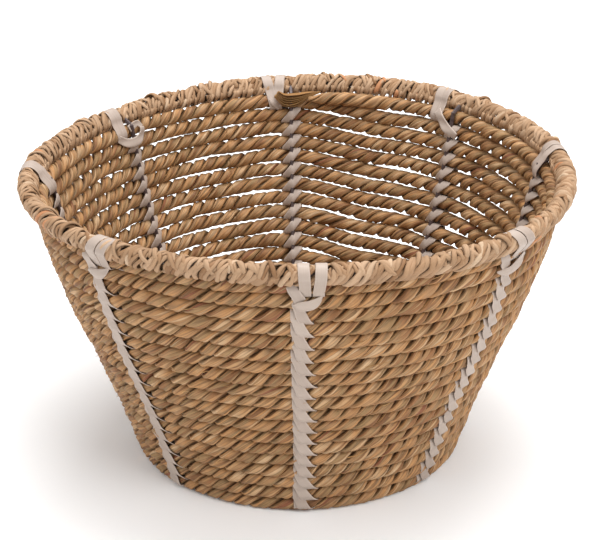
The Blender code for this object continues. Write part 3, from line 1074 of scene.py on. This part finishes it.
@dataclass
class RibLashing:
    """The strip that sews one rib's wire to every rope row, and its ties over the rim."""

    shape: BasketShape
    rib: int
    tie: RibTie
    strip_width: float = 0.0080
    inner_width: float = 0.0070
    strip_thickness: float = 0.00055
    rope_radius: float = 0.0053
    strap_lift: float = 0.0011
    foot_rings: int = 8
    least_height: float = 0.0005
    seed: int = 41

    def __post_init__(self) -> None:
        """Lists the rope crossings at this rib from the rim to the middle of the base."""
        even_azimuth = self.shape.front_rib + self.rib * FULL_TURN / self.shape.ribs
        share = ((even_azimuth - self.shape.start_azimuth()) / FULL_TURN) % 1.0
        turns = np.arange(self.shape.rows - 1, -self.foot_rings - 1, -1) + share
        turns = turns[turns < self.shape.rows - 1 + self.shape.rope_end]
        radius, height = self.shape.rope_section(turns)
        self.azimuth = self.shape.rib_azimuth(self.rib)
        self.centres = np.stack([radius, height], axis=-1)
        inward_radius, inward_height = self.shape.wall_inward(height)
        outward = np.stack([-inward_radius, -inward_height], axis=-1)
        on_wall = (turns >= 0.0)[:, None]
        self.outward = unit(np.where(on_wall, outward, np.array([0.0, -1.0])))
        self.dice = np.random.default_rng(self.seed + self.rib)

    def surface_point(self, offset: Array, section: Array) -> Array:
        """A point beside the rib: an offset along the rim and a (radius, height) section.

        Args:
            offset: Distances anticlockwise of the rib.
            section: Radii and heights on the last axis.

        Returns:
            Points, none below the surface that the basket stands on.
        """
        radius = section[..., 0]
        height = np.maximum(section[..., 1], self.least_height)
        return self.shape.put(self.azimuth + offset / radius, radius, height)

    def gap(self, index: int) -> tuple[Array, Array]:
        """Middle of the gap above a crossing, and its outward direction."""
        middle = (self.centres[index - 1] + self.centres[index]) / 2
        return middle, unit(self.outward[index - 1] + self.outward[index])

    def column_shift(self, index: int) -> float:
        """How far the column of stitches stands beside the wire at a crossing."""
        share = min(index / self.shape.rows, 1.0)
        return self.tie.top_shift + (self.tie.foot_shift - self.tie.top_shift) * share

    def strip(
        self, line: Array, offset: Array, slant: float, sections: int, width: float, lift: object = None
    ) -> Array:
        """A flat strip's surface along a section line.

        Across the strip, a point moves sideways by its share of the width times cos(slant), and back along
        the line by the width times sin(slant).

        Args:
            line: Dense (radius, height) points in order.
            offset: Offset along the rim at each share of the line, as rows of (share, offset).
            slant: Angle between the strip's width and the level.
            sections: How many sections to make.
            width: The strip's width.
            lift: Optional function of (offset, share) that moves points inwards.

        Returns:
            Points of shape (sections, columns, 3).
        """
        run = np.concatenate([[0.0], np.cumsum(np.linalg.norm(np.diff(line, axis=0), axis=1))])
        share = np.linspace(0.0, 1.0, sections)[:, None]
        across = np.linspace(-0.5, 0.5, 9)[None, :] * width
        where = np.clip(share * run[-1] - across * math.sin(slant), 0.0, run[-1])
        section = np.stack([np.interp(where, run, line[:, 0]), np.interp(where, run, line[:, 1])], axis=-1)
        sideways = np.interp(share, offset[:, 0], offset[:, 1]) + across * math.cos(slant)
        if lift is not None:
            section = section + lift(sideways, share)
        return self.surface_point(sideways, section)

    def outer_stitches(self) -> Array:
        """Outer stitches: each leaves a gap, crosses two rows down and to the right, and enters a gap again.

        Returns:
            Strip surfaces.
        """
        made = []
        under, over = 0.0003, 0.0013
        for index in range(1, len(self.centres) - 2):
            depth = min(index / self.shape.rows, 1.0)
            swing = 0.0042 + 0.0014 * depth + self.dice.normal(0.0, 0.0004)
            shift = self.column_shift(index) + self.dice.normal(0.0, 0.0003)
            start, start_out = self.gap(index)
            end, end_out = self.gap(index + 2)
            middle, middle_out = self.gap(index + 1)
            reach = self.rope_radius
            points = [
                start - start_out * 0.0008,
                start + start_out * reach * 0.52,
                self.centres[index] + self.outward[index] * (reach + under),
                middle + middle_out * (reach + under - 0.0002),
                self.centres[index + 1] + self.outward[index + 1] * (reach + over),
                end + end_out * reach * 0.60,
                end - end_out * 0.0008,
            ]
            line = through_points(np.array(points), 160)
            rows = [[0.0, -1.0], [0.25, -1.0], [0.55, -0.3], [0.88, 1.15], [1.0, 1.2]]
            offset = np.array(rows) * [1.0, swing] + [0.0, shift]
            slant = math.radians(30 + 6 * depth + self.dice.normal(0.0, 2.0))
            made.append(self.strip(line, offset, slant, 22, self.strip_width))
        return np.stack(made)

    def inner_stitches(self) -> Array:
        """Inner stitches: each crosses one row over the wire, up and towards the next outer stitch.

        Returns:
            Strip surfaces.
        """
        made = []
        reach = self.rope_radius
        rise = self.shape.wire_offset + self.shape.wire_radius - reach
        for index in range(1, len(self.centres) - 1):
            above, above_out = self.gap(index)
            below, below_out = self.gap(index + 1)
            points = [
                below + below_out * 0.0006,
                below - below_out * reach * 0.72,
                self.centres[index] - self.outward[index] * (reach + 0.0005),
                above - above_out * reach * 0.72,
                above + above_out * 0.0006,
            ]
            line = through_points(np.array(points), 120)
            swing = 0.0052 + self.dice.normal(0.0, 0.0003)
            offset = np.array([[0.0, swing], [0.20, swing], [0.80, -swing], [1.0, -swing]])
            slant = math.radians(-42 + self.dice.normal(0.0, 2.5))
            outward = self.outward[index]

            def lift(sideways: Array, share: Array, outward: Array = outward) -> Array:
                """Moves points off the wall by a bell over the wire and along the stitch."""
                amount = rise * np.exp(-((sideways / 0.0046) ** 2)) * np.sin(math.pi * share) ** 0.7
                return -amount[..., None] * outward

            made.append(self.strip(line, offset, slant, 18, self.inner_width, lift))
        return np.stack(made)

    def tie_straps(self) -> Array:
        """The straps over the rim, from the gap below the top row outside to the same gap inside.

        Returns:
            Strip surfaces.
        """
        gap, gap_out = self.gap(1)
        top, top_out = self.centres[0], self.outward[0]
        hoop = np.array([self.shape.rim_radius, self.shape.rim_height])
        reach = self.rope_radius
        angles = np.radians([-28, 5, 35, 65, 90, 115, 145, 172, 198])
        radii = (self.shape.binding_radius(angles) + self.strap_lift)[:, None]
        rim = hoop + radii * np.stack([np.cos(angles), np.sin(angles)], axis=-1)
        wire = self.shape.wire_offset + self.shape.wire_radius - reach

        def lift(sideways: Array, share: Array) -> Array:
            """Moves the inner half of a strap off the wall by a bell over the wire."""
            amount = wire * np.exp(-((sideways / 0.0052) ** 2)) * smooth_step(share, 0.58, 0.72)
            return -amount[..., None] * top_out

        made = []
        for strap in self.tie.straps:
            outside = [gap - gap_out * 0.001, gap + gap_out * reach * 0.7, top + top_out * (reach + 0.0006)]
            inside = [top - top_out * (reach + 0.0008), gap - gap_out * reach * 0.8, gap + gap_out * 0.001]
            points = [*outside, *rim, *inside]
            line = through_points(np.array(points), 400)
            shares = (0.0, 0.12, 0.5, 0.88, 1.0)
            offsets = (strap.outer, strap.outer, strap.top, strap.inner, strap.inner)
            rows = np.array([shares, offsets]).T
            made.append(self.strip(line, rows, 0.0, 56, self.strip_width, lift))
        return np.stack(made)

    def laid_strip(self, laid: Laid) -> Array:
        """A strip over the rope near the rim.

        Its width lies square to its path. It stands off the rope by its lift, on a drape that rises over each
        row and dips at each gap as a cosine.

        Args:
            laid: The strip.

        Returns:
            Points of shape (1, sections, columns, 3).
        """
        path = through_points(np.array(laid.path), 30)
        offset, rise, lift, width = (path[:, column] for column in range(4))
        way = unit(np.stack([np.gradient(offset), np.gradient(rise)], axis=-1))
        across = np.linspace(-0.5, 0.5, 9)[None, :]
        spread = width[:, None] * across
        sideways = offset[:, None] - spread * way[:, 1:]
        up = rise[:, None] + spread * way[:, :1]
        pitch = self.shape.row_pitch()
        drape = self.rope_radius - 0.0011 * (1.0 + np.cos(FULL_TURN * up / pitch)) / 2 + lift[:, None]
        gap, gap_out = self.gap(1)
        slope = unit(self.centres[0] - self.centres[1])
        section = gap + up[..., None] * slope + gap_out * (laid.face.value * drape)[..., None]
        return self.surface_point(sideways, section)[None]

    def build(self, material: Material) -> None:
        """Makes the lashing.

        Args:
            material: The strip's finish.
        """
        groups = []
        surfaces = [self.outer_stitches(), self.inner_stitches(), self.tie_straps()]
        surfaces += [self.laid_strip(laid) for laid in self.tie.laid]
        for surface in surfaces:
            tone = self.dice.uniform(0.0, 1.0, len(surface))
            thickness = np.full(surface.shape[:2], self.strip_thickness)
            groups.append(sheet_tubes(surface, thickness, tone, bead=0.5))
        number = self.rib + 1
        make_piece(f"strip_lashing_{number}", groups, material, [f"lashing_{number}"])


# The fold that runs leftwards below the straps and turns down into the first stitch
CROSS_FOLD = Laid(
    Face.OUTSIDE,
    (
        (0.0110, 0.0010, 0.0000, 0.0008),
        (0.0075, -0.0022, 0.0014, 0.0050),
        (0.0025, -0.0050, 0.0021, 0.0078),
        (-0.0035, -0.0062, 0.0020, 0.0080),
        (-0.0070, -0.0080, 0.0010, 0.0070),
    ),
)

# The tail that comes from under the rim, left of the straps, and ends beneath the fold
TAIL = Laid(
    Face.OUTSIDE,
    (
        (-0.0105, 0.0118, -0.0022, 0.0064),
        (-0.0095, 0.0090, 0.0006, 0.0076),
        (-0.0070, 0.0035, 0.0010, 0.0080),
        (-0.0035, -0.0030, 0.0008, 0.0080),
    ),
)

# The same tail where it lies nearer to the rib
NEAR_TAIL = Laid(
    Face.OUTSIDE,
    (
        (-0.0085, 0.0105, -0.0016, 0.0066),
        (-0.0072, 0.0070, 0.0008, 0.0078),
        (-0.0045, 0.0005, 0.0014, 0.0080),
        (-0.0010, -0.0060, 0.0010, 0.0080),
    ),
)

# The fold at the front right rib, whose tip points left
LEFT_FOLD = Laid(
    Face.OUTSIDE,
    (
        (0.0135, 0.0035, 0.0010, 0.0060),
        (0.0080, -0.0020, 0.0020, 0.0078),
        (0.0000, -0.0052, 0.0024, 0.0074),
        (-0.0070, -0.0050, 0.0012, 0.0050),
        (-0.0125, -0.0036, 0.0002, 0.0010),
    ),
)

# The fold inside, that leads from the straps down to the first inner stitch
INNER_FOLD = Laid(
    Face.INSIDE,
    (
        (0.0180, 0.0085, 0.0010, 0.0070),
        (0.0120, 0.0030, 0.0022, 0.0078),
        (0.0030, -0.0030, 0.0042, 0.0080),
        (-0.0070, -0.0075, 0.0020, 0.0060),
    ),
)

# The band inside the back left rib, which runs level and turns up at its end, and the loop that it makes
LEVEL_BAND = Laid(
    Face.INSIDE,
    (
        (0.0160, 0.0030, 0.0012, 0.0060),
        (0.0080, -0.0022, 0.0030, 0.0074),
        (-0.0020, -0.0028, 0.0044, 0.0076),
        (-0.0085, 0.0020, 0.0038, 0.0056),
        (-0.0100, 0.0075, 0.0030, 0.0040),
    ),
)
BAND_LOOP = Laid(
    Face.INSIDE,
    (
        (-0.0100, 0.0070, 0.0030, 0.0040),
        (-0.0060, 0.0108, 0.0026, 0.0050),
        (0.0030, 0.0080, 0.0018, 0.0060),
    ),
)

# The short end inside the back rib, where two straps meet
BACK_FOLD = Laid(
    Face.INSIDE,
    (
        (0.0150, 0.0100, 0.0012, 0.0070),
        (0.0125, 0.0055, 0.0018, 0.0076),
        (0.0085, 0.0012, 0.0006, 0.0060),
    ),
)

# One tie for each rib, from the front one anticlockwise
TIES: tuple[RibTie, ...] = (
    RibTie(
        (TieStrap(-0.0005, -0.0020, 0.0), TieStrap(0.0084, 0.0100, 0.0095)),
        (TAIL, CROSS_FOLD),
        top_shift=-0.0026,
        foot_shift=0.0016,
    ),
    RibTie((TieStrap(0.0035, -0.0070, -0.0080), TieStrap(0.0120, 0.0020, 0.0010)), (TAIL, LEFT_FOLD)),
    RibTie((TieStrap(0.0000, 0.0000, 0.0), TieStrap(0.0092, 0.0090, 0.0095)), (CROSS_FOLD,)),
    RibTie((TieStrap(0.0040, 0.0160, 0.0165), TieStrap(0.0110, 0.0225, 0.0200)), (CROSS_FOLD, INNER_FOLD)),
    RibTie((TieStrap(0.0120, 0.0210, 0.0135), TieStrap(0.0060, 0.0083, 0.0112)), (CROSS_FOLD, BACK_FOLD)),
    RibTie(
        (TieStrap(0.0020, 0.0095, 0.0105), TieStrap(0.0092, 0.0145, 0.0130)),
        (CROSS_FOLD, LEVEL_BAND, BAND_LOOP),
    ),
    RibTie((TieStrap(0.0000, 0.0010, 0.0), TieStrap(0.0085, 0.0075, 0.0070)), (CROSS_FOLD,)),
    RibTie((TieStrap(0.0005, 0.0115, 0.0110), TieStrap(0.0088, 0.0205, 0.0200)), (NEAR_TAIL, CROSS_FOLD)),
)


# ---------------------------------------------------------------------------
# Rope end and loose fibres
# ---------------------------------------------------------------------------

# Display colours of loose leaf, from the darkest to the palest
LOOSE_TONES = ((120, 82, 46), (150, 108, 62), (172, 130, 80), (190, 150, 98), (206, 172, 122))


@dataclass
class RopeEnd:
    """The rope's end, opened flat inside the rim near the back rib: leaf strips that nest like a fan."""

    shape: BasketShape
    layers: int = 6
    leaf_depth: float = 0.0070
    leaf_thickness: float = 0.0009
    rib: int = 4
    middle_radius: float = 0.1795
    middle_height: float = 0.2108
    seed: int = 67

    def build(self, material: Material) -> None:
        """Makes the fan.

        Each leaf runs through five points below the rim. From the lowest leaf to the highest the left ends
        step up, the middles step up faster, and the right ends meet. Its width points into the basket,
        tapers to the right, and is narrower at the left end.

        Args:
            material: The leaf's finish.
        """
        dice = np.random.default_rng(self.seed)
        azimuth = self.shape.rib_azimuth(self.rib)
        surfaces = []
        for layer in range(self.layers):
            step = layer / (self.layers - 1)
            points = [
                (0.0135 - 0.0030 * step, 0.0012 + 0.0044 * step, 0.0016),
                (0.0060 - 0.0010 * step, -0.0066 + 0.0092 * step, 0.0022),
                (-0.0040, -0.0070 + 0.0092 * step, 0.0020),
                (-0.0140, -0.0010 + 0.0040 * step, 0.0004),
                (-0.0230, 0.0016 + 0.0004 * step, -0.0060),
            ]
            line = through_points(np.array(points) + dice.normal(0.0, 0.00022, (5, 3)), 26)
            share = np.linspace(0.0, 1.0, 26)[:, None]
            taper = 1.0 - 0.85 * smooth_step(share, 0.50, 0.95)
            taper = taper * (0.45 + 0.55 * smooth_step(share, 0.0, 0.25))
            depth = self.leaf_depth * dice.uniform(0.75, 1.15) * taper
            across = np.linspace(-0.5, 0.5, 5)[None, :]
            radius = self.middle_radius - line[:, 2:] + depth * across
            rise = line[:, 1:2] + 0.0009 * (2 * across) ** 2
            where = azimuth + line[:, :1] / self.middle_radius
            surfaces.append(self.shape.put(where, radius, self.middle_height + rise))
        surface = np.stack(surfaces)
        thickness = np.full(surface.shape[:2], self.leaf_thickness)
        tone = np.clip(dice.normal(0.55, 0.28, self.layers), 0.0, 0.95)
        make_piece("rope_end_leaves", [sheet_tubes(surface, thickness, tone)], material, [])


@dataclass
class LooseFibres:
    """Stray fibres and split leaf ends that have worked loose from the rope."""

    work: RopeWork
    count: int = 230
    sections: int = 9
    thickness: float = 0.00022
    seed: int = 83

    def build(self, material: Material) -> None:
        """Makes the fibres.

        A fibre starts on the rope's skin, follows the leaf's lean for its length, and lifts off as the square
        of the way along it, with a slow bow. Most are on the outside.

        Args:
            material: The leaf's finish.
        """
        dice = np.random.default_rng(self.seed)
        ends = (self.work.length_at(0.2), self.work.length_at(float(self.work.turns[-1]) - 0.1))
        start = np.sort(dice.uniform(*ends, self.count))
        share = np.linspace(0.0, 1.0, self.sections)[None, :]
        centre, outward, sideways, _ = self.work.frame_at(start)
        forward = np.cross(sideways, outward)
        side = np.where(dice.random(self.count) < 0.7, 1.0, -1.0)
        angle = dice.normal(0.0, 0.7, self.count)
        skin = outward * (side * np.cos(angle))[:, None] + sideways * np.sin(angle)[:, None]
        reach = dice.uniform(0.005, 0.020, self.count)
        lean = dice.normal(0.55, 0.25, self.count) * side
        way = unit(forward * np.cos(lean)[:, None] + sideways * np.sin(lean)[:, None])
        bow = dice.normal(0.0, 0.22, self.count)[:, None] * reach[:, None] * np.sin(math.pi * share)
        lift = 0.0050 + dice.uniform(0.02, 0.20, self.count)[:, None] * reach[:, None] * share**2
        across = np.cross(way, skin)
        line = centre[:, None] + way[:, None] * (reach[:, None] * share)[..., None]
        line = line + skin[:, None] * lift[..., None]
        line = line + across[:, None] * bow[..., None]
        width = dice.uniform(0.0003, 0.0011, self.count)[:, None] * (1.0 - 0.7 * share)
        spread = np.linspace(-0.5, 0.5, 3)
        surface = line[:, :, None] + across[:, None, None] * (width[..., None] * spread)[..., None]
        surface[..., 2] = np.maximum(surface[..., 2], self.work.least_height)
        thickness = np.full(surface.shape[:2], self.thickness)
        tone = np.clip(dice.normal(0.55, 0.25, self.count), 0.0, 1.0)
        make_piece("loose_fibres", [sheet_tubes(surface, thickness, tone)], material, [])


# ---------------------------------------------------------------------------
# Frame, floor, light and camera
# ---------------------------------------------------------------------------


@dataclass
class WireFrame:
    """The wires and rings, which keep their own solids."""

    nodes: tuple[str, ...] = ("rim_hoop", "base_hoop", "centre_ring")
    uprights: int = 8

    def dress(self, material: Material) -> None:
        """Gives every wire its finish.

        Args:
            material: The wire's finish.
        """
        names = list(self.nodes) + [f"upright_wire_{number}" for number in range(1, self.uprights + 1)]
        for name in names:
            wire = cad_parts[name]
            wire.data.materials.clear()
            wire.data.materials.append(material)
        LOG.info("wire frame: %d wires dressed", len(names))


@dataclass
class Studio:
    """A pale floor, soft lights and the camera."""

    camera_place: tuple[float, float, float] = (0.00088, -1.18793, 0.67001)
    camera_down: float = math.radians(24.3595)
    camera_yaw: float = math.radians(0.095)
    camera_roll: float = math.radians(-0.171)
    lens: float = 103.19
    sensor_width: float = 36.0
    floor_size: float = 12.0
    sky_strength: float = 0.72
    aim_height: float = 0.10

    def floor(self) -> None:
        """Lays the floor at the height of the basket's foot."""
        half = self.floor_size / 2
        mesh = bpy.data.meshes.new("floor")
        corners = [(-half, -half, 0.0), (half, -half, 0.0), (half, half, 0.0), (-half, half, 0.0)]
        mesh.from_pydata(corners, [], [(0, 1, 2, 3)])
        mesh.materials.append(FloorFinish().material())
        plane = bpy.data.objects.new("floor", mesh)
        bpy.context.scene.collection.objects.link(plane)

    def camera(self) -> None:
        """Sets the camera from its place, its pitch, its yaw and its roll."""
        down, yaw, roll = self.camera_down, self.camera_yaw, self.camera_roll
        ahead = Vector((math.sin(yaw) * math.cos(down), math.cos(yaw) * math.cos(down), -math.sin(down)))
        right = Vector((math.cos(yaw), -math.sin(yaw), 0.0))
        up = right.cross(ahead)
        level_right, level_up = right.copy(), up.copy()
        right = level_right * math.cos(roll) + level_up * math.sin(roll)
        up = level_up * math.cos(roll) - level_right * math.sin(roll)
        data = bpy.data.cameras.new("camera")
        data.lens = self.lens
        data.sensor_width = self.sensor_width
        data.clip_start = 0.05
        camera = bpy.data.objects.new("camera", data)
        turn = Matrix((right, up, -ahead)).transposed().to_4x4()
        camera.matrix_world = Matrix.Translation(Vector(self.camera_place)) @ turn
        bpy.context.scene.collection.objects.link(camera)
        bpy.context.scene.camera = camera

    def lamp(self, name: str, place: tuple[float, float, float], size: float, power: float) -> None:
        """Hangs a square soft light that faces the basket.

        Args:
            name: The light's name.
            place: Where it hangs.
            size: Its side.
            power: Its power in watts.
        """
        data = bpy.data.lights.new(name, "AREA")
        data.shape = "SQUARE"
        data.size = size
        data.energy = power
        light = bpy.data.objects.new(name, data)
        light.location = place
        aim = Vector((0.0, 0.0, self.aim_height)) - Vector(place)
        light.rotation_euler = aim.to_track_quat("-Z", "Y").to_euler()
        bpy.context.scene.collection.objects.link(light)

    def build(self) -> None:
        """Sets up the floor, the sky, the lights and the camera."""
        self.floor()
        self.camera()
        sky = bpy.data.worlds.new("studio_sky")
        sky.use_nodes = True
        background = sky.node_tree.nodes["Background"]
        background.inputs["Color"].default_value = (1.0, 1.0, 1.0, 1.0)
        background.inputs["Strength"].default_value = self.sky_strength
        bpy.context.scene.world = sky
        self.lamp("key_light", (1.1, -1.3, 1.7), 1.2, 22.0)
        self.lamp("fill_light", (-1.6, -0.9, 1.2), 1.4, 8.0)
        self.lamp("top_light", (0.1, 0.3, 1.9), 1.3, 34.0)
        bpy.context.scene.view_settings.view_transform = "Standard"


def main() -> None:
    """Builds the basket piece by piece, then the studio."""
    shape = BasketShape()
    rope_leaf = RopeFinish().material()
    rim_leaf = BindingFinish().material()
    strip = StripFinish().material()
    WireFrame().dress(WireFinish().material())
    rope = RopeWork(shape)
    rope.build(rope_leaf)
    RimBinding(shape).build(rim_leaf)
    loose_leaf = BindingFinish("loose_leaf", LOOSE_TONES).material()
    RopeEnd(shape).build(loose_leaf)
    LooseFibres(rope).build(loose_leaf)
    for rib in range(shape.ribs):
        RibLashing(shape, rib, TIES[rib]).build(strip)
    Studio().build()


if __name__ == "__main__":
    main()
